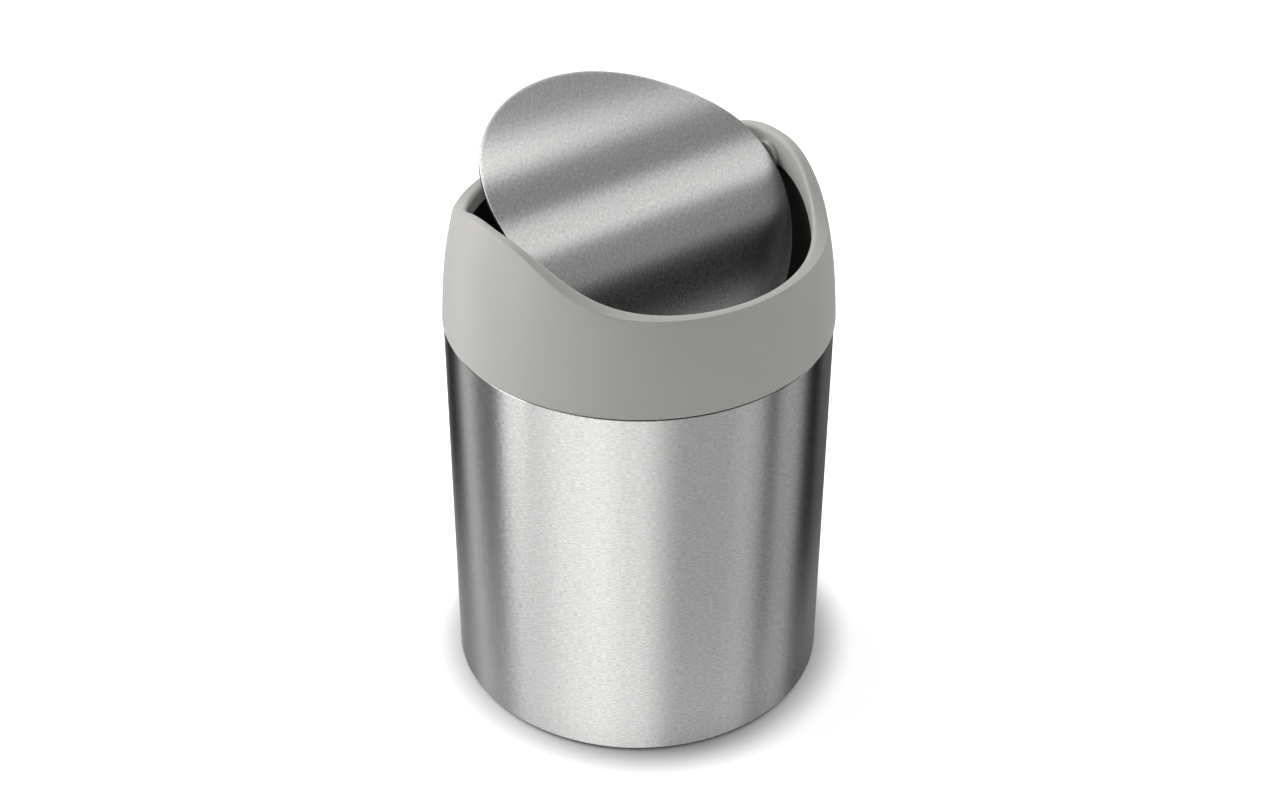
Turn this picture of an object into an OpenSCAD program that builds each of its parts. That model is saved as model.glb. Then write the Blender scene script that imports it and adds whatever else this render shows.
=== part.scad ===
// Countertop bin with a swing lid: a brushed steel body, a moulded collar with two
// ears, and an arched oval lid that rocks on pins between the ears.
// Millimetres. +Z is up and +X runs along the lid's pivot. The origin is the centre of
// the underside. The lid stands tipped open, with its -Y half down inside the mouth.

/* [Body] */
// Outer diameter of the steel body
body_d = 119; // [100:1:150]
// Height of the body's top edge above the table
body_top = 127; // [90:1:200]
// Thickness of the steel sheet
sheet_t = 0.6; // [0.4:0.1:1]
// Total thickness of the folded hem at each end of the body
hem_t = 1.4; // [1.2:0.1:2]
// Height of the folded hems
hem_h = 4; // [3:0.5:8]

/* [Base] */
// Height of the body's lower edge above the table
steel_lift = 1.2; // [1:0.1:3]
// How far the base ring's flange stands back from the body's face
base_inset = 0.6; // [0.2:0.1:2]
// Radial width of the base ring inside the hem
base_ring_w = 6; // [4:0.5:12]
// Radial width of the non-slip ring
grip_w = 2.8; // [1.5:0.1:4]
// Thickness of the non-slip ring
grip_t = 1.6; // [1:0.1:2.4]
// How far the non-slip ring stands out below the base ring
grip_out = 0.5; // [0.2:0.1:0.9]
// Height of the flange around the steel bottom
bottom_flange_h = 4; // [2:0.5:8]
// Depth of the stiffening step pressed into the steel bottom
bottom_step = 1.2; // [0.6:0.1:3]

/* [Collar] */
// How far the collar stands proud of the steel body
collar_proud = 0.4; // [0:0.1:1.5]
// Gap between the body's top edge and the collar
seam_gap = 0.3; // [0.3:0.1:1]
// Height of the collar at the front and back of the rim
rim_h = 30; // [20:1:45]
// Height of the collar at the top of its ears
ear_h = 45; // [36:1:60]
// Distance from the middle of an ear over which its height falls away
ear_spread = 29.2; // [22:0.2:34]
// How far the ears lean in from the collar's lower edge
ear_lean = 7; // [4:0.5:9]
// Thickness of the collar's outer wall
skin_t = 2.2; // [1.6:0.1:3]
// Thickness of the collar at the top of the rim
rim_t = 2.4; // [1.6:0.1:4]
// Width of the rim at the front and back
rim_band = 3.3; // [3:0.1:5]
// Width of the rim at the ears
ear_band = 3.1; // [2.8:0.1:4.5]
// Thickness of the lip that turns down inside the rim
lip_t = 2; // [1.4:0.1:2.4]
// Height of the lip at the ears
lip_ear_h = 9.5; // [6:0.5:12]
// Height of the lip at the front and back
lip_end_h = 5; // [3.5:0.5:10]

/* [Inner ring] */
// Wall thickness of the inner ring
ring_t = 1.5; // [1.2:0.1:2]
// How far the inner ring stands back from the face of the lip
ring_recess = 0.8; // [0.2:0.1:1.2]
// Depth of the spigot inside the steel body
spigot_h = 14; // [8:1:25]
// Radial clearance between the spigot and the body's hem
spigot_gap = 0.5; // [0.3:0.1:0.7]
// Height of the ring's band behind the collar's lower edge
ring_lap = 3; // [2:0.5:5]
// Height of the snap fingers inside the collar
finger_h = 16; // [12:1:20]
// Width of a snap finger
finger_w = 12; // [8:1:16]
// Height of the tab on a snap finger
snap_h = 3; // [2:0.5:4]
// Reach of a tab into the collar's wall
snap_reach = 0.8; // [0.4:0.1:1]

/* [Lid] */
// Gap between the lid and the mouth at the ears
lid_gap_side = 2.6; // [2:0.1:3.2]
// Gap between the lid and the mouth at the front and back
lid_gap_end = 1.3; // [1:0.1:2.5]
// Depth of the pivot below the top of the ears
pivot_drop = 7.3; // [6.5:0.1:9]
// Height of the lid's crown above the pivot
lid_crown = 3.3; // [3:0.1:5]
// Drop of the lid's arch beside the crown
arch_bell = 4.6; // [2:0.2:7]
// Further even drop of the arch at the lid's ends
arch_bow = 4; // [1:0.2:6]
// Thickness of the steel cover
cover_t = 0.5; // [0.3:0.1:0.8]
// Thickness of the bonding film
film_t = 0.2; // [0.1:0.1:0.3]
// Thickness of the under-plate
plate_t = 1.5; // [1.2:0.1:1.8]
// How far the under-plate stands back from the cover's edge
plate_inset = 0.3; // [0:0.1:1]
// How far the bonding film stands back from the cover's edge
film_inset = 3; // [1:0.5:8]
// Angle by which the lid stands open
open_angle = 30; // [0:1:45]

/* [Pivot] */
// Diameter of the pivot pins
pin_d = 3; // [2.6:0.1:3.2]
// Radial running clearance of a pin in its bush
pin_play = 0.05; // [0.03:0.01:0.1]
// Outer diameter of a bush
bush_d = 5.6; // [5:0.1:6]
// Length of a bush inside its boss
bush_len = 4; // [3:0.1:4.2]
// Thickness of a bush's flange
flange_t = 0.6; // [0.5:0.1:0.7]
// Diameter of a bush's flange
flange_d = 7.6; // [7.4:0.1:8.2]
// Diameter of the bearing bosses in the ears
boss_d = 8.6; // [8.4:0.2:10]
// How far a boss stands out of the lip's face
boss_proud = 1.6; // [1.2:0.1:2]
// Diameter of the hubs under the lid
hub_d = 7.2; // [6.8:0.1:8]
// Length of a hub
hub_len = 11.5; // [10:0.5:14]
// Length of a pin inside its hub
pin_seat = 8; // [5:0.5:9.5]
// Width of the stop tab on a bush
stop_w = 1.2; // [0.8:0.1:1.6]

/* [Counterweight] */
// Length of the counterweight bar
weight_l = 60; // [54:1:64]
// Width of the counterweight bar
weight_w = 8; // [7:0.5:12]
// Thickness of the counterweight bar
weight_t = 4; // [2:0.5:6]
// Depth of the bar's upper face below the pivot
weight_drop = 4.5; // [3.5:0.5:8]
// Distance between the two screws
screw_pitch = 44; // [30:1:46]
// Shank diameter of the screws
screw_d = 2.9; // [2.5:0.1:3.2]
// Head diameter of the screws
head_d = 5.6; // [5:0.1:6.4]
// Head height of the screws
head_h = 2; // [1.5:0.1:2.6]
// Diameter of the posts that the bar is screwed to
post_d = 7; // [6:0.5:9]
// Width of the two ribs under the lid
rib_w = 1.6; // [1.2:0.1:2.4]
// Depth of the ribs below the under-plate
rib_h = 2.4; // [1:0.2:3]

/* [Hidden] */

steel = [0.72, 0.72, 0.72];
warm_grey = [0.66, 0.65, 0.63];
near_black = [0.13, 0.13, 0.13];
rubber_black = [0.07, 0.07, 0.07];
bearing_grey = [0.42, 0.42, 0.41];
film_clear = [0.8, 0.8, 0.78];

round_fn = 120;      // facets around the large round pieces
small_fn = 48;       // facets around pins, bushes and screws
arch_steps = 48;     // straight steps along the rim and along the lid's arch
oval_steps = 96;     // straight steps around the mouth and the lid
barrel_steps = 14;   // straight steps up the collar's curved wall
over = 1;            // overrun of every cut
seat_fit = 0.1;      // gap between parts that are pressed or snapped together
tight_fit = 0.02;    // radial gap of a pressed pin, bush or screw
hole_play = 0.25;    // radial clearance of a screw in the bar's hole

// Levels and radii of the body
body_r = body_d / 2;
inner_r = body_r - sheet_t;
hem_r = body_r - hem_t;
floor_z = steel_lift + hem_h;

// Steel bottom
bottom_r = inner_r - seat_fit;
bottom_land = 9;     // flat band around the pressed step
bottom_slope = 2;    // width of the step's slope

// Base ring and its groove
base_r = hem_r - seat_fit;
base_in_r = base_r - base_ring_w;
base_flange_r = body_r - base_inset;
grip_mid_r = (base_r + base_in_r) / 2;

// Collar: its outer wall is a cubic curve from the lower edge to the tops of the ears
collar_z = body_top + seam_gap;
collar_r = body_r + collar_proud;
ear_top_r = collar_r - ear_lean;
barrel_out_shares = [1, 0.81, 0.56, 0];
barrel_up_shares = [0, 0.53, 0.61, 1];
function cubic(p, t) = p[0] * pow(1 - t, 3) + 3 * p[1] * pow(1 - t, 2) * t
    + 3 * p[2] * (1 - t) * pow(t, 2) + p[3] * pow(t, 3);
function barrel_point(t) = [ear_top_r + ear_lean * cubic(barrel_out_shares, t),
    ear_h * cubic(barrel_up_shares, t)];
barrel = [for (i = [0:barrel_steps]) barrel_point(i / barrel_steps)];
function barrel_r(h) = lookup(h, [for (p = barrel) [p[1], p[0]]]);

// The rim: a bell curve over the distance from the pivot's plane
ear_power = 2.6;
function ear_share(y) = exp(-pow(abs(y) / ear_spread, ear_power));
function rim_at(y) = collar_z + rim_h + (ear_h - rim_h) * ear_share(y);
ear_top_z = collar_z + ear_h;

// Half sizes of the mouth, of the inner ring and of the lid
mouth_x = ear_top_r - ear_band;
mouth_y = barrel_r(rim_h) - rim_band;
ring_x = mouth_x + ring_recess;
ring_y = mouth_y + ring_recess;
lid_x = mouth_x - lid_gap_side;
lid_y = mouth_y - lid_gap_end;

// Inner ring: the spigot, and the fingers that snap in behind the collar's outer wall
spigot_r = hem_r - spigot_gap;
spigot_z = collar_z - spigot_h;
ring_inset = max(skin_t + seat_fit, collar_r - spigot_r);
fingers = 4;         // one between each ear and each end of the mouth
snap_z = collar_z + finger_h - snap_h;
notch_gap = 0.3;     // gap around a boss in the inner ring's wall

// Lid: height of the arch above the pivot, over the distance from the pivot's plane
function arch(v) = lid_crown - arch_bell * (1 - ear_share(v)) - arch_bow * pow(v / lid_y, 2);
plate_top = cover_t + film_t;
plate_bottom = plate_top + plate_t;
arch_low = arch(lid_y) - plate_bottom - rib_h - over;
arch_high = lid_crown + over;

// Pivot: places along X from the middle of the bin
pivot_z = ear_top_z - pivot_drop;
pin_r = pin_d / 2;
pin_chamfer = 0.4;
bore_r = pin_r + pin_play;
boss_x = mouth_x - boss_proud;
boss_end = boss_x + bush_len + seat_fit;
flange_x = boss_x - flange_t;
stop_t = 1.1;        // reach of a stop tab towards the hub
stop_gap = 0.3;      // end clearance of the stop faces
stop_step = 0.9;     // distance of a stop tab from the pin
stop_margin = 0.3;   // distance of a stop tab from the flange's edge
dog_rise = 0.3;      // height of the hub's stop faces above the pivot line
hub_end = flange_x - stop_gap - stop_t;
hub_start = hub_end - hub_len;
pin_start = hub_end - pin_seat;
pin_end = boss_x + bush_len - stop_gap;

// Counterweight: depths below the pivot
bar_top = -weight_drop;
bar_bottom = bar_top - weight_t;
screw_len = 8;
screw_tip = bar_bottom + screw_len;
recess_w = 0.8;      // width of the cross in a screw's head
recess_l = 3;        // length of the cross
recess_h = 1;        // depth of the cross
rib_margin = 5;      // distance of the ribs' ends from the lid's edge

// A ring of rectangular section
module ring(r_out, r_in, z0, z1) {
    rotate_extrude($fn = round_fn)
        translate([r_in, z0]) square([r_out - r_in, z1 - z0]);
}

// The collar's outer shape as a solid, drawn in by an inset and cut off at a height
module barrel_solid(inset, under, top) {
    points = [for (p = barrel) if (p[1] < top) [p[0] - inset, p[1]]];
    translate([0, 0, collar_z])
        rotate_extrude($fn = round_fn)
            polygon(concat([[0, -under], [collar_r - inset, -under]], points,
                [[barrel_r(top) - inset, top], [0, top]]));
}

// Everything below the rim's curve, lowered by one drop at the front and back and one at the ears
module below_rim(end_drop, ear_drop) {
    half = collar_r + over;
    ys = [for (i = [0:arch_steps]) half * (2 * i / arch_steps - 1)];
    rotate([90, 0, 90])
        linear_extrude(height = 2 * half, center = true)
            polygon(concat([[half, 0], [-half, 0]],
                [for (y = ys) [y, rim_at(y) - end_drop - (ear_drop - end_drop) * ear_share(y)]]));
}

// An upright oval prism
module oval(rx, ry, z0, z1) {
    translate([0, 0, z0])
        linear_extrude(height = z1 - z0)
            polygon([for (i = [0:oval_steps - 1])
                [rx * cos(360 * i / oval_steps), ry * sin(360 * i / oval_steps)]]);
}

// Everything in the lid's arch between two depths below the cover's outer face
module arch_layer(depth0, depth1) {
    half = lid_y + over;
    vs = [for (i = [0:arch_steps]) half * (2 * i / arch_steps - 1)];
    upper = [for (v = vs) [v, arch(v) - depth0]];
    lower = [for (i = [arch_steps:-1:0]) [vs[i], arch(vs[i]) - depth1]];
    rotate([90, 0, 90])
        linear_extrude(height = 2 * (mouth_x + over), center = true)
            polygon(concat(upper, lower));
}

// One layer of the lid, cut to an oval that stands back from the lid's edge
module lid_layer(depth0, depth1, inset) {
    intersection() {
        arch_layer(depth0, depth1);
        oval(lid_x - inset, lid_y - inset, arch_low, arch_high);
    }
}

// Puts a piece that is drawn about the pivot, with the lid level, in its place
module at_lid() {
    translate([0, 0, pivot_z]) rotate([open_angle, 0, 0]) children();
}

// A cylinder along X between two places
module along_x(r, x0, x1) {
    translate([x0, 0, 0]) rotate([0, 90, 0]) cylinder(r = r, h = x1 - x0, $fn = small_fn);
}

// The same piece on both sides of the bin
module both_sides() {
    children();
    mirror([1, 0, 0]) children();
}

// Blocks that cut the snap fingers, their tabs or the tabs' pockets out of a wall
module finger_blocks(z0, z1, play) {
    for (k = [0:fingers - 1])
        rotate([0, 0, 360 * (k + 0.5) / fingers])
            translate([0, -finger_w / 2 - play, z0 - play])
                cube([collar_r, finger_w + 2 * play, z1 - z0 + 2 * play]);
}

module body_shell() {
    color(steel)
        rotate_extrude($fn = round_fn)
            polygon([[hem_r, steel_lift], [body_r, steel_lift], [body_r, body_top],
                [hem_r, body_top], [hem_r, body_top - hem_h], [inner_r, body_top - hem_h],
                [inner_r, floor_z], [hem_r, floor_z]]);
}

module bottom_disc() {
    land_r = hem_r - bottom_land;
    step_r = land_r - bottom_slope;
    step_z = floor_z + bottom_step;
    rim_z = floor_z + bottom_flange_h;
    color(steel)
        rotate_extrude($fn = round_fn)
            polygon([[0, step_z], [step_r, step_z], [land_r, floor_z], [bottom_r, floor_z],
                [bottom_r, rim_z], [bottom_r - sheet_t, rim_z],
                [bottom_r - sheet_t, floor_z + sheet_t], [land_r, floor_z + sheet_t],
                [step_r, step_z + sheet_t], [0, step_z + sheet_t]]);
}

module base_ring() {
    top = floor_z - seat_fit;
    color(near_black)
        difference() {
            rotate_extrude($fn = round_fn)
                polygon([[base_in_r, grip_out], [base_flange_r, grip_out],
                    [base_flange_r, steel_lift], [base_r, steel_lift], [base_r, top],
                    [base_in_r, top]]);
            ring(grip_mid_r + grip_w / 2 + seat_fit, grip_mid_r - grip_w / 2 - seat_fit,
                grip_out - over, grip_t);
        }
}

module non_slip_ring() {
    color(rubber_black)
        ring(grip_mid_r + grip_w / 2, grip_mid_r - grip_w / 2, 0, grip_t);
}

module collar() {
    color(warm_grey)
        difference() {
            union() {
                difference() {
                    intersection() {
                        barrel_solid(0, 0, ear_h);
                        below_rim(0, 0);
                    }
                    // space behind the outer wall, closed by the rim and by the lip
                    difference() {
                        intersection() {
                            barrel_solid(skin_t, over, ear_h);
                            below_rim(rim_t, rim_t);
                        }
                        difference() {
                            oval(mouth_x + lip_t, mouth_y + lip_t, collar_z, ear_top_z + over);
                            below_rim(lip_end_h, lip_ear_h);
                        }
                    }
                    oval(mouth_x, mouth_y, collar_z - over, ear_top_z + over);
                }
                // bearing bosses on the ears
                intersection() {
                    both_sides()
                        translate([0, 0, pivot_z]) along_x(boss_d / 2, boss_x, collar_r);
                    barrel_solid(skin_t / 2, 0, ear_h);
                }
            }
            both_sides()
                translate([0, 0, pivot_z]) along_x(bush_d / 2, boss_x - over, boss_end);
            // pockets for the tabs of the inner ring
            intersection() {
                barrel_solid(skin_t - snap_reach - seat_fit, 0, ear_h);
                finger_blocks(snap_z, snap_z + snap_h, seat_fit);
            }
        }
}

module inner_ring() {
    color(near_black)
        difference() {
            union() {
                ring(spigot_r, spigot_r - ring_t, spigot_z, collar_z);
                // band behind the collar's lower edge, and the snap fingers with their tabs
                difference() {
                    union() {
                        intersection() {
                            barrel_solid(ring_inset, ring_t, finger_h);
                            union() {
                                translate([0, 0, collar_z - ring_t])
                                    cylinder(r = collar_r, h = ring_t + ring_lap, $fn = round_fn);
                                finger_blocks(collar_z, snap_z + snap_h, 0);
                            }
                        }
                        intersection() {
                            barrel_solid(skin_t - snap_reach, 0, finger_h);
                            finger_blocks(snap_z, snap_z + snap_h, 0);
                        }
                    }
                    barrel_solid(ring_inset + ring_t, ring_t + over, finger_h + over);
                }
                // oval wall that the lid swings in
                intersection() {
                    oval(ring_x + ring_t, ring_y + ring_t, spigot_z, ear_top_z);
                    below_rim(lip_end_h + seat_fit, lip_ear_h + seat_fit);
                }
                translate([0, 0, spigot_z])
                    cylinder(r = spigot_r - ring_t / 2, h = ring_t, $fn = round_fn);
            }
            oval(ring_x, ring_y, spigot_z - over, ear_top_z + over);
            both_sides()
                translate([0, 0, pivot_z])
                    along_x(boss_d / 2 + notch_gap, 0, collar_r);
        }
}

// A flanged bush with a stop tab below the pin
module bush() {
    color(bearing_grey)
        translate([flange_x, 0, pivot_z]) {
            rotate([0, 90, 0])
                rotate_extrude($fn = small_fn)
                    polygon([[bore_r, 0], [flange_d / 2, 0], [flange_d / 2, flange_t],
                        [bush_d / 2 - tight_fit, flange_t],
                        [bush_d / 2 - tight_fit, flange_t + bush_len],
                        [bore_r, flange_t + bush_len]]);
            translate([-stop_t, -stop_w / 2, -flange_d / 2 + stop_margin])
                cube([stop_t + flange_t / 2, stop_w,
                    flange_d / 2 - stop_margin - pin_r - stop_step]);
        }
}

module bush_left() {
    mirror([1, 0, 0]) bush();
}

module bush_right() {
    bush();
}

module lid_cover() {
    color(steel)
        at_lid() lid_layer(0, cover_t, 0);
}

module lid_film() {
    color(film_clear)
        at_lid() lid_layer(cover_t, plate_top, film_inset);
}

module lid_base() {
    color(near_black)
        at_lid()
            difference() {
                union() {
                    lid_layer(plate_top, plate_bottom, plate_inset);
                    // ribs from front to back over the posts
                    intersection() {
                        lid_layer(plate_top, plate_bottom + rib_h, rib_margin);
                        both_sides()
                            translate([(screw_pitch - rib_w) / 2, -lid_y, arch_low])
                                cube([rib_w, 2 * lid_y, arch_high - arch_low]);
                    }
                    // hubs, their stop faces and the posts, all rooted in the plate
                    intersection() {
                        both_sides() {
                            along_x(hub_d / 2, hub_start, hub_end);
                            intersection() {
                                along_x(hub_d / 2, hub_start, hub_end + stop_t);
                                translate([hub_start, -hub_d / 2, dog_rise])
                                    cube([hub_len + stop_t, hub_d, hub_d]);
                            }
                            translate([screw_pitch / 2, 0, bar_top])
                                cylinder(r = post_d / 2, h = arch_high - bar_top, $fn = small_fn);
                        }
                        arch_layer(plate_top, weight_drop + hub_d + lid_crown);
                    }
                }
                both_sides() {
                    along_x(pin_r + tight_fit, pin_start - seat_fit, hub_end + stop_t + over);
                    translate([screw_pitch / 2, 0, bar_top - over])
                        cylinder(r = screw_d / 2 + tight_fit, h = over + screw_tip - bar_top + seat_fit,
                            $fn = small_fn);
                }
            }
}

// A steel dowel, pressed into its hub and turning in its bush
module pivot_pin() {
    color(steel)
        at_lid()
            translate([pin_start, 0, 0])
                rotate([0, 90, 0])
                    rotate_extrude($fn = small_fn)
                        polygon([[0, 0], [pin_r - pin_chamfer, 0], [pin_r, pin_chamfer],
                            [pin_r, pin_end - pin_start - pin_chamfer],
                            [pin_r - pin_chamfer, pin_end - pin_start], [0, pin_end - pin_start]]);
}

module pivot_pin_left() {
    mirror([1, 0, 0]) pivot_pin();
}

module pivot_pin_right() {
    pivot_pin();
}

module counterweight() {
    color(steel)
        at_lid()
            difference() {
                translate([0, 0, bar_bottom])
                    linear_extrude(height = weight_t)
                        union() {
                            square([weight_l - weight_w, weight_w], center = true);
                            for (side = [-1, 1])
                                translate([side * (weight_l - weight_w) / 2, 0])
                                    circle(r = weight_w / 2, $fn = small_fn);
                        }
                both_sides()
                    translate([screw_pitch / 2, 0, bar_bottom - over])
                        cylinder(r = screw_d / 2 + hole_play, h = weight_t + 2 * over, $fn = small_fn);
            }
}

module weight_screws() {
    color(steel)
        at_lid()
            both_sides()
                translate([screw_pitch / 2, 0, bar_bottom])
                    difference() {
                        union() {
                            cylinder(r = screw_d / 2, h = screw_len, $fn = small_fn);
                            translate([0, 0, -head_h])
                                cylinder(r = head_d / 2, h = head_h, $fn = small_fn);
                        }
                        for (turn = [0, 90])
                            rotate([0, 0, turn])
                                translate([-recess_l / 2, -recess_w / 2, -head_h - over])
                                    cube([recess_l, recess_w, recess_h + over]);
                    }
}

body_shell();
bottom_disc();
base_ring();
non_slip_ring();
collar();
inner_ring();
bush_left();
bush_right();
lid_cover();
lid_film();
lid_base();
pivot_pin_left();
pivot_pin_right();
counterweight();
weight_screws();
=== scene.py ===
import bmesh
import bpy
import numpy as np
from mathutils import Matrix


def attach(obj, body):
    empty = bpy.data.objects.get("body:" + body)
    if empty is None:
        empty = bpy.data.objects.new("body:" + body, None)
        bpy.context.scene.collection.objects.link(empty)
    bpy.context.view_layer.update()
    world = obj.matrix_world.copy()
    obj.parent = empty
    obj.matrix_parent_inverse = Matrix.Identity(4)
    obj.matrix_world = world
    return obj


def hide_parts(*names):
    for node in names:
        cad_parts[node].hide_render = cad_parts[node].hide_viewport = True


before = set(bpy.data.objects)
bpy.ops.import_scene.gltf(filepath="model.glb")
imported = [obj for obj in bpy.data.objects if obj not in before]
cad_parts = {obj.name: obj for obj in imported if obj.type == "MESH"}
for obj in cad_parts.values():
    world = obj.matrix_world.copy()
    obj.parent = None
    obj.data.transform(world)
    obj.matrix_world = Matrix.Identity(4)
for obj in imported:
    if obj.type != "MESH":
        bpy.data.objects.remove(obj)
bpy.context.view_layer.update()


# The camera. It looks down on the bin by 34 degrees from the front left, through a lens of 61 mm, as the
# photographer's did; its place is solved from the outlines of the collar and the steel body.
TURN, DOWN, ROLL = np.radians([36.8, 34.24, 0.175])
CAMERA_AT, LENS, SENSOR = [-0.3343, -0.4453, 0.4726], 60.78, 36
level = np.array([np.cos(TURN), -np.sin(TURN), 0])
ahead = np.array([np.sin(TURN) * np.cos(DOWN), np.cos(TURN) * np.cos(DOWN), -np.sin(DOWN)])
upward = np.cross(level, ahead)
right = level * np.cos(ROLL) + upward * np.sin(ROLL)
up = upward * np.cos(ROLL) - level * np.sin(ROLL)
place = np.eye(4)
place[:3] = np.column_stack([right, up, -ahead, CAMERA_AT])
camera = bpy.data.objects.new("camera", bpy.data.cameras.new("camera"))
camera.data.sensor_width = SENSOR
camera.data.lens = LENS
camera.matrix_world = Matrix(place.tolist())
bpy.context.collection.objects.link(camera)
bpy.context.scene.camera = camera
bpy.context.scene.view_settings.view_transform = "Standard"


# The table and the room. The table is a plain white sheet and the room is white, dimmer from overhead. A
# broad lamp at the left gives the collar its light side and the table its soft shadow; a weaker one stands
# behind.
def linear(code):
    """A colour written as sRGB hex, as linear red, green, blue and alpha."""
    share = np.array([int(code[i : i + 2], 16) for i in (0, 2, 4)]) / 255
    low, high = share / 12.92, ((share + 0.055) / 1.055) ** 2.4
    return (*np.where(share <= 0.04045, low, high), 1.0)


def add(tree, kind, inputs=None, **settings):
    """Adds a node with its settings; an input is a value or the output that feeds it."""
    node = tree.nodes.new("ShaderNode" + kind)
    for name, value in settings.items():
        setattr(node, name, value)
    for name, value in (inputs or {}).items():
        if isinstance(value, bpy.types.NodeSocket):
            tree.links.new(value, node.inputs[name])
        else:
            node.inputs[name].default_value = value
    return node


def material(name):
    """A new material, its node tree and its shader."""
    made = bpy.data.materials.new(name)
    made.use_nodes = True
    return made, made.node_tree, made.node_tree.nodes["Principled BSDF"]


def seen_or_mirrored(tree):
    """1 for a ray from the camera or from a gloss or clear surface, 0 for soft light."""
    path = add(tree, "LightPath")
    either = add(tree, "Math", {0: path.outputs["Is Camera Ray"], 1: path.outputs["Is Glossy Ray"]},
                 operation="MAXIMUM")
    return add(tree, "Math", {0: either.outputs[0], 1: path.outputs["Is Transmission Ray"]},
               operation="MAXIMUM").outputs[0]


# the strength of the room's soft light, from the walls and from overhead
ROOM_LOW, ROOM_HIGH = 0.75, 0.30
# each lamp's strength and width, and where it stands: its azimuth from the camera's side, positive to the
# right, and its height, in degrees
LAMPS = {"key_lamp": (3.95, 60, -112, 19), "rim_lamp": (1.2, 40, 138, 24)}
world = bpy.data.worlds.new("white_room")
world.use_nodes = True
bpy.context.scene.world = world
tree = world.node_tree
height = add(tree, "SeparateXYZ", {0: add(tree, "TexCoord").outputs["Generated"]}).outputs["Z"]
room = add(tree, "MapRange", {"Value": height, "From Min": 0.1, "From Max": 0.9, "To Min": ROOM_LOW,
                              "To Max": ROOM_HIGH})
strength = add(tree, "MapRange", {"Value": seen_or_mirrored(tree), "To Min": room.outputs[0], "To Max": 1.0})
background = tree.nodes["Background"].inputs
background["Color"].default_value = (1, 1, 1, 1)
tree.links.new(strength.outputs[0], background["Strength"])

for name, (energy, width, turn, height) in LAMPS.items():
    turn, height = np.radians([turn, height])
    lamp = bpy.data.objects.new(name, bpy.data.lights.new(name, "SUN"))
    lamp.data.energy = energy
    lamp.data.angle = np.radians(width)
    lamp.visible_glossy = False
    side = level * np.sin(turn) - np.cross([0, 0, 1], level) * np.cos(turn)
    towards = side * np.cos(height) + np.array([0, 0, np.sin(height)])
    across = np.cross([0, 0, 1], towards)
    across /= np.linalg.norm(across)
    axes = np.column_stack([across, np.cross(towards, across), towards])
    lamp.matrix_world = Matrix(axes.tolist()).to_4x4()
    bpy.context.collection.objects.link(lamp)


CRISP = 32


def skin(name, *shells):
    """A mesh object from grids of points in mm.

    A grid is points[i, j], with a face between each point and its neighbours at i + 1 and j + 1. Points
    that coincide become one, so a grid whose last row repeats its first is closed, and so is a pole. A
    shell given as (points, True) also gets flat ends across its first and last rows. Faces are turned to
    point outwards, and shading breaks where they meet at more than CRISP degrees.
    """
    mesh = bpy.data.meshes.new(name)
    points, faces, start = [], [], 0
    for shell in shells:
        grid, ends = shell if isinstance(shell, tuple) else (shell, False)
        rows, columns = grid.shape[:2]
        index = start + np.arange(rows * columns).reshape(rows, columns)
        faces += np.stack([index[:-1, :-1], index[1:, :-1], index[1:, 1:], index[:-1, 1:]], -1).reshape(
            -1, 4).tolist()
        if ends:
            faces += [index[0, :-1].tolist(), index[-1, :-1].tolist()]
        points.append(grid.reshape(-1, 3) / 1000)
        start += rows * columns
    mesh.from_pydata(np.concatenate(points), [], faces)
    shape = bmesh.new()
    shape.from_mesh(mesh)
    bmesh.ops.remove_doubles(shape, verts=shape.verts, dist=1e-7)
    bmesh.ops.recalc_face_normals(shape, faces=shape.faces)
    shape.to_mesh(mesh)
    shape.free()
    mesh.shade_smooth()
    mesh.set_sharp_from_angle(angle=np.radians(CRISP))
    piece = bpy.data.objects.new(name, mesh)
    bpy.context.collection.objects.link(piece)
    return piece


# half the sheet's side in mm; then, in metres from the bin's axis, where its glow begins, with a painted
# shade inside that, where the glow has it white, and between which distances it turns clear for mirrored rays
TABLE_HALF = 3000
PAINTED_SHADE_R, WHITE_R, CLEAR_FROM, CLEAR_TO = 0.058, 0.074, 0.035, 0.14
edge = np.array([-TABLE_HALF, TABLE_HALF])
table = skin("table", np.stack([*np.meshgrid(edge, edge, indexing="ij"), np.zeros((2, 2))], -1))
white_sheet, tree, shader = material("white_table_sheet")
shader.inputs["Base Color"].default_value = linear("E7E7E7")
shader.inputs["Roughness"].default_value = 0.9
shader.inputs["Specular IOR Level"].default_value = 0.0
shader.inputs["Emission Color"].default_value = (1, 1, 1, 1)
on_sheet = add(tree, "TexCoord").outputs["Object"]
spot = add(tree, "VectorMath", {0: on_sheet}, operation="LENGTH")
# the glow makes the sheet white but for a painted shade close round the base, over the real shade there
glow_past_painted_shade = add(tree, "MapRange", {"Value": spot.outputs["Value"], "From Min": PAINTED_SHADE_R, "From Max": WHITE_R,
                               "To Min": 0.0, "To Max": 0.58}, interpolation_type="SMOOTHSTEP")
# painted shade in mirrors: the steel mirrors the sheet's glow dimmed towards the left
sideways = add(tree, "VectorMath", {0: on_sheet, 1: tuple(level)}, operation="DOT_PRODUCT").outputs["Value"]
mirror_dimmed_painted = add(tree, "MapRange", {"Value": sideways, "From Min": -0.075, "From Max": -0.02, "To Min": 0.1,
                                "To Max": 0.78})
seen = add(tree, "Math", {0: mirror_dimmed_painted.outputs[0], 1: add(tree, "LightPath").outputs["Is Camera Ray"]},
           operation="MAXIMUM")
seen = add(tree, "Math", {0: seen.outputs[0], 1: seen_or_mirrored(tree)}, operation="MULTIPLY")
white = add(tree, "Math", {0: glow_past_painted_shade.outputs[0], 1: seen.outputs[0]}, operation="MULTIPLY")
tree.links.new(white.outputs[0], shader.inputs["Emission Strength"])
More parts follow.
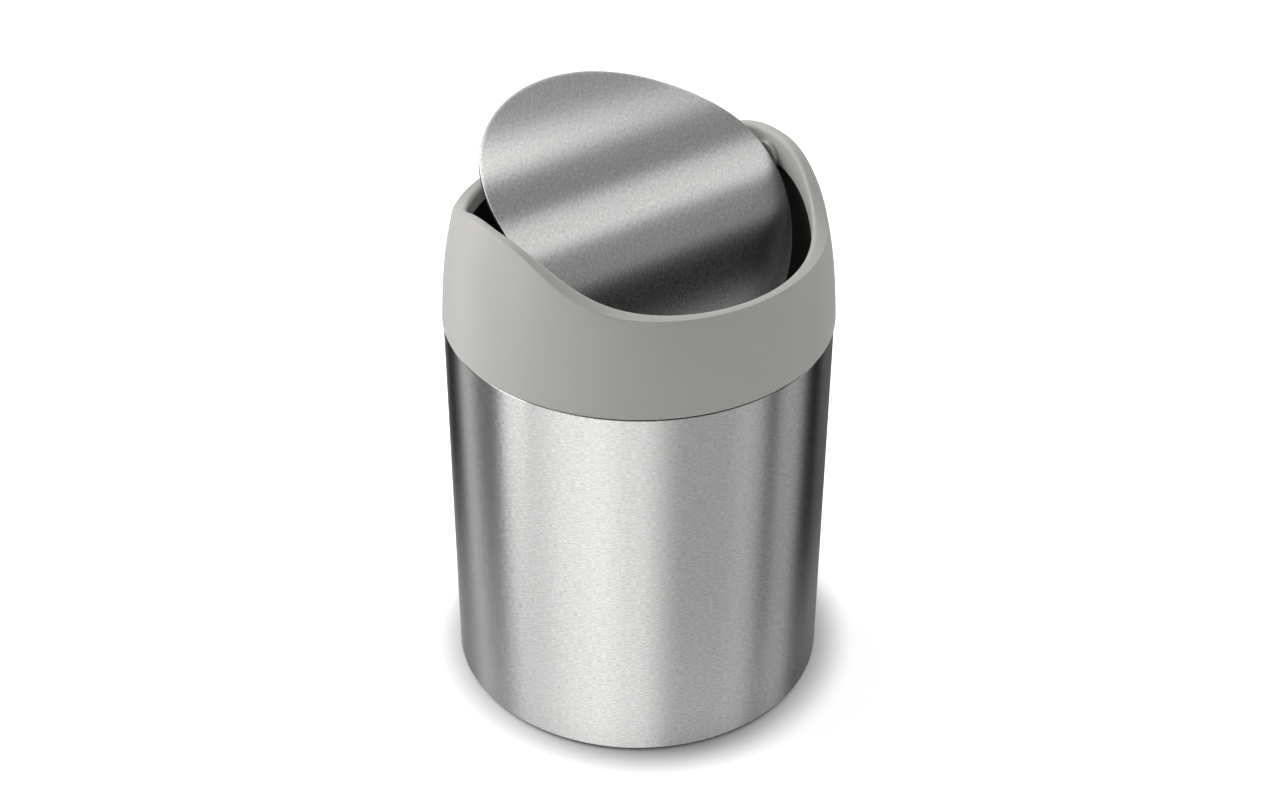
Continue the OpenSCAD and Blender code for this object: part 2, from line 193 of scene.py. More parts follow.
# further out the sheet lets mirrored rays through to the cards, and from below it shows what stands on it
beside = add(tree, "VectorMath", {0: on_sheet, 1: tuple(0.025 * level)}, operation="ADD")
beside = add(tree, "VectorMath", {0: beside.outputs["Vector"]}, operation="LENGTH")
clear = add(tree, "MapRange", {"Value": beside.outputs["Value"], "From Min": CLEAR_FROM, "From Max": CLEAR_TO,
                               "To Min": 0.64, "To Max": 1.0})
mirrored = add(tree, "Math", {0: clear.outputs[0], 1: add(tree, "LightPath").outputs["Is Glossy Ray"]},
               operation="MULTIPLY")
from_below = add(tree, "Math", {0: add(tree, "NewGeometry").outputs["Backfacing"],
                                1: add(tree, "LightPath").outputs["Is Camera Ray"]}, operation="MULTIPLY")
passed = add(tree, "Math", {0: mirrored.outputs[0], 1: from_below.outputs[0]}, operation="MAXIMUM")
sheet = add(tree, "MixShader", {0: passed.outputs[0], 1: shader.outputs[0],
                                2: add(tree, "BsdfTransparent").outputs[0]})
tree.links.new(sheet.outputs[0], tree.nodes["Material Output"].inputs["Surface"])
table.data.materials.append(white_sheet)


# The cards. Brushed steel shows what stands round it: white softboxes, grey walls and black flags, as
# upright strips by their azimuth from the camera's side, and long white strips overhead. Only gloss sees
# the cards.
def step(value, start, end):
    """0 before start, 1 after end, and a smooth rise between them."""
    share = np.clip((value - start) / (end - start), 0, 1)
    return share * share * (3 - 2 * share)


def card(value, start, end, soft, end_soft=None):
    """1 between start and end, 0 outside, with edges that soften over the given reach to both sides."""
    end_soft = soft if end_soft is None else end_soft
    return step(value, start - soft, start + soft) * (1 - step(value, end - end_soft, end + end_soft))


CARDS_R = 2500
azimuth, height = np.meshgrid(np.radians(np.linspace(-180, 180, 721)), np.radians(np.linspace(-90, 90, 241)),
                              indexing="ij")
cards = skin("cards", CARDS_R * np.stack([np.cos(azimuth) * np.cos(height), np.sin(azimuth) * np.cos(height),
                                          np.sin(height)], -1))
spots = np.empty(len(cards.data.vertices) * 3)
cards.data.vertices.foreach_get("co", spots)
spots = spots.reshape(-1, 3) / (CARDS_R / 1000)
azimuth = np.degrees(np.arctan2(spots @ level, -spots @ np.cross([0, 0, 1], level)))
height = np.degrees(np.arcsin(np.clip(spots[:, 2], -1, 1)))
# upright strips: start, end, brightness, and how soft the two edges are, in degrees from the camera's side
STRIPS = [(-84.5, -32, 1.0, 5, 20), (-32, 13, 1.12, 20, 15), (13, 77, 0.50, 15, 2), (77, 87, 0.15, 2, 2),
          (87, 110, 0.47, 2, 3), (110, 131, 0.0, 3, 2), (131, 166, 0.12, 2, 4), (167, 205, 0.34, 4, 4),
          (-200, -157, 0.58, 4, 10), (-125, -109, 0.68, 2, 4), (-109, -84.5, 0.17, 4, 3)]
walls = sum(white * card(azimuth, start, end, first, last) for start, end, white, first, last in STRIPS)
# two brighter streaks, the white wall behind, and a low white card at the left
walls += 0.26 * card(azimuth, -52, -14, 12) + 0.12 * card(azimuth, 58, 70, 7)
walls += (0.9 - walls) * step(np.abs(azimuth), 112, 130) * step(height, -6, 8)
walls += 0.6 * card(azimuth, -81, -64, 4) * card(height, -22, 10, 6)
# overhead: a grey sheet, a white strip to the back that dims to the right, and a narrow light strip; places
# there are how far a direction leans to the back, and across to the right, for each unit that it rises
lean = spots[:, 1] / np.maximum(spots[:, 2], 0.02)
across = spots[:, 0] / np.maximum(spots[:, 2], 0.02)
ceiling = 0.33 * card(lean, -0.573, 1.4, 0.035)
ceiling += (2.02 - 1.8 * step(across, 0.3, 0.9)) * card(lean, 0.392, 1.4, 0.07)
ceiling += 0.72 * card(lean, -0.225, -0.005, 0.06)
brightness = walls + (ceiling - walls) * step(height, 10, 20)
cards.data.attributes.new("brightness", "FLOAT", "POINT").data.foreach_set("value", brightness)
card_stock, tree, shader = material("studio_cards")
glow = add(tree, "Emission", {"Strength": add(tree, "Attribute", attribute_name="brightness").outputs["Fac"]})
tree.links.new(glow.outputs[0], tree.nodes["Material Output"].inputs["Surface"])
cards.data.materials.append(card_stock)
cards.visible_camera = cards.visible_diffuse = cards.visible_shadow = cards.visible_transmission = False


# The body. A strip of 0.6 mm stainless steel is brushed along its length, rolled to a tube, seamed at the
# back and ground flush; both ends are folded in to a hem, so that no cut edge shows.
def rounded(corners, radii, steps=6):
    """A closed outline with its corners rounded.

    At each corner the outline leaves its two edges at the given distance from the corner and crosses
    between them on a parabola that has the corner as its control point.
    """
    corners = np.asarray(corners, float)
    back, on = np.roll(corners, 1, -2) - corners, np.roll(corners, -1, -2) - corners
    reach = np.asarray(radii, float)[:, None]
    first = corners + back / np.linalg.norm(back, axis=-1, keepdims=True) * reach
    last = corners + on / np.linalg.norm(on, axis=-1, keepdims=True) * reach
    t = np.linspace(0, 1, steps)[:, None]
    bends = (first[..., None, :] * (1 - t) ** 2 + 2 * corners[..., None, :] * t * (1 - t)
             + last[..., None, :] * t**2)
    outline = bends.reshape(*corners.shape[:-2], -1, 2)
    return np.concatenate([outline, outline[..., :1, :]], -2)


def turned(outline, angles):
    """An outline of radii and heights, carried round the Z axis through the angles."""
    outline = np.broadcast_to(outline, (len(angles), *outline.shape[-2:]))
    return np.stack([outline[..., 0] * np.cos(angles)[:, None], outline[..., 0] * np.sin(angles)[:, None],
                     outline[..., 1]], -1)


def mapped(piece, u, v):
    """Gives a piece its brushing map: u runs along the brush marks and v across them, each from 0 to 1.

    u and v are worked out from the middle of each face and from its corners, so that a face at the join
    of a tube doesn't run back across the whole map.
    """
    mesh = piece.data
    spots = np.empty(len(mesh.vertices) * 3)
    mesh.vertices.foreach_get("co", spots)
    corners, loops = np.empty(len(mesh.loops), int), mesh.loops
    loops.foreach_get("vertex_index", corners)
    middles, counts = np.empty(len(mesh.polygons) * 3), np.empty(len(mesh.polygons), int)
    mesh.polygons.foreach_get("center", middles)
    mesh.polygons.foreach_get("loop_total", counts)
    at = spots.reshape(-1, 3)[corners] * 1000
    face = np.repeat(middles.reshape(-1, 3), counts, axis=0) * 1000
    along = mesh.uv_layers.new(name="brushing").data
    along.foreach_set("uv", np.stack([u(at, face), v(at, face)], -1).ravel())


def brushed_steel(name, dark, bright, marks, streaks):
    """Stainless steel brushed along u, so that gloss spreads across it: fine short marks and longer streaks.

    Marks and streaks are noise whose scale says how many of them lie along the map's u and v.
    """
    made, tree, shader = material(name)
    brushing = add(tree, "UVMap", uv_map="brushing").outputs[0]
    shader.inputs["Metallic"].default_value = 1.0
    shader.inputs["Anisotropic"].default_value = 1.0
    shader.inputs["Anisotropic Rotation"].default_value = 0.25
    short = add(tree, "Mapping", {"Vector": brushing, "Scale": marks}).outputs[0]
    fine = add(tree, "TexNoise", {"Vector": short, "Scale": 1.0, "Detail": 3.0, "Roughness": 0.6})
    drawn = add(tree, "Mapping", {"Vector": brushing, "Scale": streaks}).outputs[0]
    long = add(tree, "TexNoise", {"Vector": drawn, "Scale": 1.0, "Detail": 2.0, "Roughness": 0.5})
    both = add(tree, "Mix", {0: 0.25, 2: fine.outputs["Fac"], 3: long.outputs["Fac"]})
    shade = add(tree, "MapRange", {"Value": both.outputs[0], "From Min": 0.36, "From Max": 0.64})
    tone = add(tree, "Mix", {0: shade.outputs[0], 6: linear(dark), 7: linear(bright)}, data_type="RGBA")
    tree.links.new(tone.outputs[2], shader.inputs["Base Color"])
    gloss = add(tree, "MapRange", {"Value": both.outputs[0], "From Min": 0.36, "From Max": 0.64,
                                   "To Min": 0.18, "To Max": 0.22})
    tree.links.new(gloss.outputs[0], shader.inputs["Roughness"])
    grain = add(tree, "Bump", {"Height": both.outputs[0], "Strength": 0.13, "Distance": 0.00006})
    tree.links.new(grain.outputs[0], shader.inputs["Normal"])
    tree.links.new(add(tree, "Tangent", direction_type="UV_MAP", uv_map="brushing").outputs[0],
                   shader.inputs["Tangent"])
    return made


BODY_R, BODY_LOW, BODY_TOP = 59.5, 1.2, 127.0
SHEET, HEM_T, HEM_H = 0.6, 1.4, 4.0
inside, hem = BODY_R - SHEET, BODY_R - HEM_T
FLOOR = BODY_LOW + HEM_H
tube = rounded([[BODY_R, BODY_LOW], [BODY_R, BODY_TOP], [hem, BODY_TOP], [hem, BODY_TOP - HEM_H],
                [inside, BODY_TOP - HEM_H], [inside, FLOOR], [hem, FLOOR], [hem, BODY_LOW]],
               [0.6, 0.6, 0.6, 0.2, 0.1, 0.1, 0.2, 0.6])
# the seam is at the back, 90 degrees round: a groove in the outer face alone, with closer steps across it
SEAM, SEAM_DEEP, SEAM_WIDE = 90, 0.03, 0.2
angles = SEAM + np.concatenate([np.linspace(0, 1, 16), np.linspace(2, 358, 260), np.linspace(359, 360, 16)])
groove = SEAM_DEEP * sum(np.exp(-((angles - side) / SEAM_WIDE) ** 2) for side in (SEAM, SEAM + 360))
body = turned(tube, np.radians(angles))
outside = (np.arange(len(tube)) < 12) * 1.0
body[..., :2] *= 1 - (groove[:, None] * outside / BODY_R)[..., None]
steel_tube = skin("steel_tube", body)
mapped(steel_tube,
       lambda at, face: (np.arctan2(face[:, 0], -face[:, 1])
                         + np.arctan2(face[:, 0] * at[:, 1] - face[:, 1] * at[:, 0],
                                      face[:, 0] * at[:, 0] + face[:, 1] * at[:, 1])) / (2 * np.pi) + 0.5,
       lambda at, face: at[:, 2] / BODY_TOP)
# marks of about 1.5 by 0.24 mm and streaks of 7 by 0.2 mm, drawn more than twice as coarse as real ones so
# that they show
steel_tube.data.materials.append(brushed_steel("stainless_steel_brushed_round", "B8B8B7", "E4E4E3",
                                               (250, 520, 1), (50, 620, 1)))
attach(steel_tube, "bin")
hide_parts("body_shell")


# The bottom. A disc of plain steel is pressed with a raised step that stiffens it and a flange that is a
# push fit in the tube; it stands on the lower hem, and the pressing leaves its face a little satin.
def moulded(name, colour, rough, grain, height):
    """Moulded plastic or rubber: one colour all through, with the fine grain of a spark-eroded mould.

    The grain's size and height are in mm.
    """
    made, tree, shader = material(name)
    pale, deep = (linear(code) for code in colour)
    at = add(tree, "TexCoord").outputs["Object"]
    mould = add(tree, "TexNoise", {"Vector": at, "Scale": 1000 / grain, "Detail": 2.0, "Roughness": 0.6})
    flow = add(tree, "TexNoise", {"Vector": at, "Scale": 45.0, "Detail": 1.0})
    tone = add(tree, "Mix", {0: flow.outputs["Fac"], 6: pale, 7: deep}, data_type="RGBA")
    tree.links.new(tone.outputs[2], shader.inputs["Base Color"])
    gloss = add(tree, "MapRange", {"Value": mould.outputs["Fac"], "From Min": 0.3, "From Max": 0.7,
                                   "To Min": rough - 0.04, "To Max": rough + 0.04})
    tree.links.new(gloss.outputs[0], shader.inputs["Roughness"])
    wall = add(tree, "Bump", {"Height": mould.outputs["Fac"], "Strength": 0.35, "Distance": height / 1000})
    tree.links.new(wall.outputs[0], shader.inputs["Normal"])
    return made


def plain_steel(name, rough):
    """Plain steel as it leaves the rolls or the lathe: bright, with faint clouds in its gloss."""
    made, tree, shader = material(name)
    shader.inputs["Metallic"].default_value = 1.0
    at = add(tree, "TexCoord").outputs["Object"]
    clouds = add(tree, "TexNoise", {"Vector": at, "Scale": 180.0, "Detail": 4.0}).outputs["Fac"]
    tone = add(tree, "Mix", {0: clouds, 6: linear("B4B4B3"), 7: linear("D2D2D1")}, data_type="RGBA")
    tree.links.new(tone.outputs[2], shader.inputs["Base Color"])
    gloss = add(tree, "MapRange", {"Value": clouds, "To Min": rough - 0.06, "To Max": rough + 0.06})
    tree.links.new(gloss.outputs[0], shader.inputs["Roughness"])
    return made


ROUND = np.radians(np.linspace(0, 360, 241))
DISC_R, FLANGE_TOP, STEP_UP, STEP_IN, STEP_OUT = inside - 0.1, FLOOR + 4, 1.2, 47.1, 49.1
under = [[0, FLOOR + STEP_UP], [STEP_IN, FLOOR + STEP_UP], [STEP_OUT, FLOOR], [DISC_R, FLOOR],
         [DISC_R, FLANGE_TOP]]
over = [[DISC_R - SHEET, FLANGE_TOP], [DISC_R - SHEET, FLOOR + SHEET], [STEP_OUT, FLOOR + SHEET],
        [STEP_IN, FLOOR + STEP_UP + SHEET], [0, FLOOR + STEP_UP + SHEET]]
dish = rounded(under + over, [0, 0.7, 0.7, 0.5, 0.15, 0.15, 0.4, 0.7, 0.7, 0])
steel_bottom = skin("steel_bottom", turned(dish, ROUND))
steel_bottom.data.materials.append(plain_steel("stainless_steel_pressed", 0.34))
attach(steel_bottom, "bin")
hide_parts("bottom_disc")


# The base ring and its grip. A black polypropylene ring is pushed into the lower hem, with a flange that
# keeps the steel off the table; a ring of soft black rubber with three ridges sits in its groove, and the
# bin stands on it.
black_plastic = moulded("polypropylene_black_satin", ("1D1D1C", "232322"), 0.42, 0.5, 0.03)
BASE_R, BASE_IN, BASE_FLANGE, BASE_UNDER = hem - 0.1, hem - 6.1, BODY_R - 0.6, 0.5
GRIP_R, GRIP_W, GRIP_TOP = (BASE_R + BASE_IN) / 2, 2.8, 1.6
trough = GRIP_W / 2 + 0.1
foot = rounded([[BASE_IN, BASE_UNDER], [GRIP_R - trough, BASE_UNDER], [GRIP_R - trough, GRIP_TOP],
                [GRIP_R + trough, GRIP_TOP], [GRIP_R + trough, BASE_UNDER], [BASE_FLANGE, BASE_UNDER],
                [BASE_FLANGE, BODY_LOW], [BASE_R, BODY_LOW], [BASE_R, FLOOR - 0.1], [BASE_IN, FLOOR - 0.1]],
               [0.4, 0.15, 0.1, 0.1, 0.15, 0.25, 0.2, 0.05, 0.3, 0.3])
foot_ring = skin("foot_ring", turned(foot, ROUND))
foot_ring.data.materials.append(black_plastic)
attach(foot_ring, "bin")
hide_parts("base_ring")

RIDGES, RIDGE_H = 3, 0.22
across = np.linspace(-1, 1, 43)
ridges = RIDGE_H * (0.5 - 0.5 * np.cos(RIDGES * np.pi * (across + 1)))
sole = np.stack([GRIP_R + GRIP_W / 2 * across, 0.25 - ridges + 0.25 * np.abs(across) ** 8], -1)
sole[:, 1] -= sole[:, 1].min()
rubber = np.concatenate([sole, [[GRIP_R + GRIP_W / 2, GRIP_TOP], [GRIP_R - GRIP_W / 2, GRIP_TOP]], sole[:1]])
grip_ring = skin("grip_ring", turned(rubber, ROUND))
grip_ring.data.materials.append(moulded("rubber_black_matt", ("151515", "1B1B1B"), 0.8, 0.4, 0.04))
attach(grip_ring, "bin")
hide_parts("non_slip_ring")


# The collar. One moulding in warm grey ABS: a barrel wall that leans in as it rises, a rim that climbs into
# two ears, and a lip that turns down inside; the rim's outer edge is crisp and its inner one soft, as the
# mould parts there.
COLLAR_Z, COLLAR_R, EAR_H, RIM_H, EAR_TOP_R = 127.3, 59.9, 45.0, 30.0, 52.9
WALL, RIM_T, LIP_T, LIP_EAR, LIP_END = 2.2, 2.4, 2.0, 9.5, 5.0
MOUTH_X, MOUTH_Y = 49.8, 53.0
EAR_SPREAD, EAR_POWER = 29.2, 2.6


def cubic(ends, t):
    """The value of a cubic curve with four control values at t from 0 to 1."""
    return (ends[0] * (1 - t) ** 3 + 3 * ends[1] * (1 - t) ** 2 * t + 3 * ends[2] * (1 - t) * t**2
            + ends[3] * t**3)


def barrel(height):
    """Radius of the collar's outer wall at a height above its lower edge: a cubic curve that leans in."""
    t = np.linspace(0, 1, 400)
    return np.interp(height, EAR_H * cubic([0, 0.53, 0.61, 1], t),
                     EAR_TOP_R + (COLLAR_R - EAR_TOP_R) * cubic([1, 0.81, 0.56, 0], t))


def ear(y):
    """1 on the pivot's plane and falling away in a bell to the front and back."""
    return np.exp(-(np.abs(y) / EAR_SPREAD) ** EAR_POWER)


def rim(y):
    """Height of the rim above the table: the front's height, raised to the ears by the bell."""
    return COLLAR_Z + RIM_H + (EAR_H - RIM_H) * ear(y)


def lip_foot(y):
    """Height of the lip's lower edge: the lip is high at the ears and lower at the front and back."""
    return rim(y) - LIP_END - (LIP_EAR - LIP_END) * ear(y)


def oval_r(rx, ry, angles):
    """Distance from the middle to an oval with those half sizes, in each direction."""
    return 1 / np.hypot(np.cos(angles) / rx, np.sin(angles) / ry)


def under_rim(angles, inset, drop):
    """Radius and height where the wall, drawn in by an inset, meets the rim's curve lowered by a drop."""
    z = rim(0 * angles) - drop
    for _ in range(40):
        r = barrel(z - COLLAR_Z) - inset
        z = 0.5 * z + 0.5 * (rim(r * np.sin(angles)) - drop)
    return r, z


AROUND = np.radians(np.linspace(0, 360, 361))
outer_r, outer_z = under_rim(AROUND, 0, 0)
inner_r, inner_z = under_rim(AROUND, WALL, RIM_T)
mouth_r = oval_r(MOUTH_X, MOUTH_Y, AROUND)
lip_r = np.minimum(oval_r(MOUTH_X + LIP_T, MOUTH_Y + LIP_T, AROUND), inner_r - 0.5)
sine = np.sin(AROUND)


def wall_line(top, inset, shares):
    """Points up the barrel wall, from its lower edge to a height, with their radius drawn in by an inset."""
    z = COLLAR_Z + np.multiply.outer(top - COLLAR_Z, shares)
    return [np.stack([barrel(z[:, k] - COLLAR_Z) - inset, z[:, k]], -1) for k in range(len(shares))]


across_rim = [mouth_r + (outer_r - mouth_r) * share for share in (0.85, 0.7)]
section = np.stack(
    wall_line(outer_z, 0, np.linspace(0, 1, 14)[:-1]) + [np.stack([outer_r, outer_z], -1)]
    + [np.stack([r, rim(r * sine)], -1) for r in across_rim]
    + [np.stack([mouth_r, rim(mouth_r * sine)], -1), np.stack([mouth_r, lip_foot(mouth_r * sine)], -1),
       np.stack([lip_r, lip_foot(lip_r * sine)], -1), np.stack([lip_r, rim(lip_r * sine) - RIM_T], -1),
       np.stack([inner_r, inner_z], -1)]
    + wall_line(inner_z, WALL, np.linspace(1, 0, 9)[1:]), 1)
bends = [0.5] + [0] * 12 + [0.22, 0, 0, 1.9, 0.5, 0.5, 0.2, 0.2] + [0] * 7 + [0.3]
collar_wall = turned(rounded(section, bends), AROUND)


def along_x(outline, angles):
    """An outline of radii and places along X, carried round the X axis through the angles."""
    outline = np.broadcast_to(outline, (len(angles), *outline.shape[-2:]))
    return np.stack([outline[..., 1], outline[..., 0] * np.cos(angles)[:, None],
                     outline[..., 0] * np.sin(angles)[:, None]], -1)


def both_sides(points):
    """The same points at the right and, mirrored, at the left."""
    return [points, points * [-1, 1, 1]]


# the bosses that hold the bushes, from their faces back into the lip
PIVOT_Z = 165.0
BOSS_R, BOSS_X, BOSS_BACK = 4.3, 48.2, 52.2
boss = rounded([[0, BOSS_X], [BOSS_R, BOSS_X], [BOSS_R, BOSS_BACK], [0, BOSS_BACK]], [0, 0.35, 0.2, 0])
bosses = both_sides(along_x(boss, ROUND[::5]) + [0, 0, PIVOT_Z])
collar = skin("collar_moulding", collar_wall, *bosses)
satin_abs = moulded("abs_warm_grey_satin", ("AFAEAA", "AAA9A5"), 0.38, 0.45, 0.012)
tree = satin_abs.node_tree
surface = tree.nodes["Principled BSDF"].inputs
surface["Sheen Weight"].default_value = 0.3
surface["Sheen Roughness"].default_value = 0.35
# painted shade in the lid's mirror: for mirrored rays the moulding's colour turns near black, as dark as the
# bin's inside
colour = surface["Base Color"].links[0].from_socket
mirrored = add(tree, "LightPath").outputs["Is Glossy Ray"]
mirror_painted_dark = add(tree, "Mix", {0: mirrored, 6: colour, 7: linear("101010")}, data_type="RGBA")
tree.links.new(mirror_painted_dark.outputs[2], surface["Base Color"])
collar.data.materials.append(satin_abs)
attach(collar, "lid_assembly")
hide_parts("collar")


# The inner ring. A black polypropylene moulding snaps up into the collar on four fingers; its spigot
# centres the collar in the steel tube, and its oval wall closes the space round the lid.
RING_X, RING_Y, RING_T = MOUTH_X + 0.8, MOUTH_Y + 0.8, 1.5
SPIGOT_R, SPIGOT_Z, LAP, RING_SET = 57.6, 113.3, 3.0, 2.3
FINGER_H, FINGER_W, FINGER_R, TAB_H, TAB_OUT = 16.0, 12.0, 57, 3.0, 1.4
NOTCH_R = 4.6


def ring_top(r):
    """Height of the oval wall at a radius: under the lip, and notched round the pivot bosses."""
    y = r * sine
    notch = PIVOT_Z - np.sqrt(np.clip(NOTCH_R**2 - y**2, 0, None))
    return np.minimum(lip_foot(y) - 0.1, np.where(np.abs(y) < NOTCH_R, notch, np.inf))


wall_in, wall_out = oval_r(RING_X, RING_Y, AROUND), oval_r(RING_X + RING_T, RING_Y + RING_T, AROUND)
full = np.ones_like(AROUND)
band_r = barrel(LAP) - RING_SET
section = np.stack([np.stack([r * full, z * full], -1) for r, z in (
    (wall_in, SPIGOT_Z), (SPIGOT_R, SPIGOT_Z), (SPIGOT_R, COLLAR_Z), (band_r, COLLAR_Z + LAP),
    (band_r - RING_T, COLLAR_Z + LAP), (SPIGOT_R - RING_T, COLLAR_Z), (SPIGOT_R - RING_T, SPIGOT_Z + RING_T),
    (wall_out, SPIGOT_Z + RING_T), (wall_out, ring_top(wall_out)), (wall_in, ring_top(wall_in)))], 1)
ring_wall = turned(rounded(section, [0.4, 0.6, 0.1, 0.3, 0.3, 0.1, 0.15, 0.15, 0.3, 0.3]), AROUND)
tab_h = FINGER_H - TAB_H
finger_out = [[barrel(h) - RING_SET, COLLAR_Z + h] for h in np.linspace(LAP - 1, tab_h, 6)]
finger_tab = [[barrel(tab_h) - TAB_OUT, COLLAR_Z + tab_h + 0.1],
              [barrel(FINGER_H) - TAB_OUT - 0.5, COLLAR_Z + FINGER_H]]
finger_in = [[barrel(h) - RING_SET - RING_T, COLLAR_Z + h] for h in np.linspace(FINGER_H, LAP - 1, 7)]
finger_line = rounded(finger_out + finger_tab + finger_in, [0] * 6 + [0.2, 0.3, 0.3] + [0] * 6, 4)
spread = np.linspace(-1, 1, 9) * FINGER_W / 2 / FINGER_R
fingers = [(turned(finger_line, np.radians(45 + 90 * k) + spread), True) for k in range(4)]
inner_ring = skin("ring_moulding", ring_wall, *fingers)
inner_ring.data.materials.append(black_plastic)
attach(inner_ring, "lid_assembly")
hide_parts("inner_ring")


# The pivot. Two bushes of grey acetal are pressed into the bosses; each has a flange that the lid runs
# against and a small tab that stops the swing. Two 3 mm steel dowels are pressed into the lid's hubs and
# turn in them.
acetal = moulded("acetal_grey", ("6C6C6A", "666664"), 0.34, 0.4, 0.01)
FLANGE_X, FLANGE_R, BUSH_R, BORE_R, BUSH_L = 47.6, 3.8, 2.78, 1.55, 4
STOP_HALF, STOP_LOW, STOP_TOP, STOP_OUT = 0.6, -3.5, -2.4, 1.1
bush = rounded([[BORE_R, FLANGE_X], [FLANGE_R, FLANGE_X], [FLANGE_R, BOSS_X], [BUSH_R, BOSS_X],
                [BUSH_R, BOSS_X + BUSH_L], [BORE_R, BOSS_X + BUSH_L]], [0.2, 0.15, 0.1, 0.05, 0.4, 0.1])
stop = rounded([[-STOP_HALF, STOP_LOW], [STOP_HALF, STOP_LOW], [STOP_HALF, STOP_TOP], [-STOP_HALF, STOP_TOP]],
               [0.2, 0.2, 0.2, 0.2], 4)
stop = np.stack([np.insert(stop, 0, x, 1) for x in (FLANGE_X - STOP_OUT, FLANGE_X + 0.2)])
for side_name, side in (("right", 1), ("left", -1)):
    shape = along_x(bush, ROUND[::4])
    turning = skin("acetal_bush_" + side_name, shape * [side, 1, 1] + [0, 0, PIVOT_Z],
                   (stop * [side, 1, 1] + [0, 0, PIVOT_Z], True))
    turning.data.materials.append(acetal)
    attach(turning, "lid_assembly")
    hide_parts("bush_" + side_name)

PIN_R, PIN_IN, PIN_OUT = 1.5, 38.2, 51.9
OPEN = np.radians(30)


def tipped(points):
    """Points drawn about the pivot with the lid level, put in their place with the lid 30 degrees open."""
    y = points[..., 1] * np.cos(OPEN) - points[..., 2] * np.sin(OPEN)
    z = points[..., 1] * np.sin(OPEN) + points[..., 2] * np.cos(OPEN)
    return np.stack([points[..., 0], y, z + PIVOT_Z], -1)


turned_steel = plain_steel("steel_turned", 0.24)
dowel = rounded([[0, PIN_IN], [PIN_R, PIN_IN], [PIN_R, PIN_OUT], [0, PIN_OUT]], [0, 0.45, 0.45, 0])
for side_name, side in (("right", 1), ("left", -1)):
    pin = skin("dowel_pin_" + side_name, tipped(along_x(dowel, ROUND[::6]) * [side, 1, 1]))
    pin.data.materials.append(turned_steel)
    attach(pin, "lid")
    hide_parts("pivot_pin_" + side_name)


# The lid. A stamped cover of 0.5 mm stainless steel, brushed from front to back, is bonded by a film to a
# black moulded under-plate that carries the ribs, the hubs for the pins and the posts for the weight.
LID_X, LID_Y = MOUTH_X - 2.6, MOUTH_Y - 1.3
CROWN, BELL, BOW = 3.3, 4.6, 4.0


def arch(v):
    """Height of the lid's face above the pivot: a crown that falls in a bell and then in an even bow."""
    return CROWN - BELL * (1 - ear(v)) - BOW * (v / LID_Y) ** 2


def leaf(inset, top, bottom, upper, lower):
    """An oval sheet that follows the arch between two depths below the cover's face, set in from its edge."""
    rings = np.linspace(1, LID_X, 40)
    edge_line = rounded([[0, top], [LID_X, top], [LID_X, bottom], [0, bottom]], [0, upper, lower, 0])[:-1]
    line = np.concatenate([[[0, top]], np.stack([rings[:-1], np.full(39, top)], -1), edge_line[6:18],
                           np.stack([rings[-2::-1], np.full(39, bottom)], -1), [[0, bottom]]])
    share = line[:, 0] / LID_X
    x = (LID_X - inset) * np.cos(AROUND)[:, None] * share
    y = (LID_Y - inset) * np.sin(AROUND)[:, None] * share
    return np.stack([x, y, arch(y) - line[:, 1]], -1)


COVER_T, FILM_T, PLATE_T, MAP_SIZE = 0.5, 0.2, 1.5, 110
steel_lid = skin("steel_lid_cover", tipped(leaf(0, 0, COVER_T, 0.22, 0.15)))
mapped(steel_lid,
       lambda at, face: (at[:, 1] * np.cos(OPEN) + (at[:, 2] - PIVOT_Z) * np.sin(OPEN)) / MAP_SIZE + 0.5,
       lambda at, face: at[:, 0] / MAP_SIZE + 0.5)
# marks of about 1.3 by 0.26 mm and streaks of 6 by 0.22 mm, as coarse as on the body
steel_lid.data.materials.append(brushed_steel("stainless_steel_brushed_straight", "B6B6B5", "E4E4E3",
                                              (85, 420, 1), (18, 500, 1)))
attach(steel_lid, "lid")
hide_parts("lid_cover")

film = bpy.data.objects["lid_film"]
film.data.materials.clear()
film.data.materials.append(moulded("bonding_film", ("C9C8C4", "BFBEBA"), 0.3, 0.6, 0.01))

PLATE_TOP, PLATE_LOW = COVER_T + FILM_T, COVER_T + FILM_T + PLATE_T
HUB_R, HUB_IN, HUB_OUT, POST_R, WEIGHT_TOP = 3.6, 34.7, 46.2, 3.5, -4.5
DOG_OUT, DOG_IN, DOG_LOW = 47.3, 1.55, 0.3
SCREW_X, RIB_W, RIB_TOP, RIB_DROP, RIB_HALF, RIB_FADE = 22.0, 1.6, 1.6, 4.6, 39.5, 33


def kept_under(points):
    """Keeps points on or below the under-plate's upper face."""
    ceiling = arch(points[..., 1]) - PLATE_TOP - 0.1
    return np.stack([points[..., 0], points[..., 1], np.minimum(points[..., 2], ceiling)], -1)


hub = rounded([[0, HUB_IN], [HUB_R, HUB_IN], [HUB_R, HUB_OUT], [0, HUB_OUT]], [0, 0.5, 0.25, 0])
hub = kept_under(along_x(hub, ROUND[::3]))
# the step on the hub's end that meets the bush's stop: half a ring whose ends come down square
dog_turn = np.radians(np.linspace(5, 175, 31))
bow = np.stack([np.cos(dog_turn), np.sin(dog_turn)], -1)
dog_end = np.array([[HUB_R - 0.02, DOG_LOW], [DOG_IN - 0.03, DOG_LOW]])
dog_rim = np.concatenate([HUB_R * bow, dog_end * [-1, 1], DOG_IN * bow * [-1, 1], dog_end[::-1],
                          HUB_R * bow[:1]])
dog = kept_under(np.stack([np.insert(dog_rim, 0, x, 1) for x in (HUB_OUT - 0.5, DOG_OUT)]))
post = rounded([[0, WEIGHT_TOP], [POST_R, WEIGHT_TOP], [POST_R + 0.15, 0.2], [POST_R + 1.2, 1.4], [0, 1.4]],
               [0, 0.3, 1.5, 0, 0])
post = kept_under(turned(post, ROUND[::4]) + [SCREW_X, 0, 0])
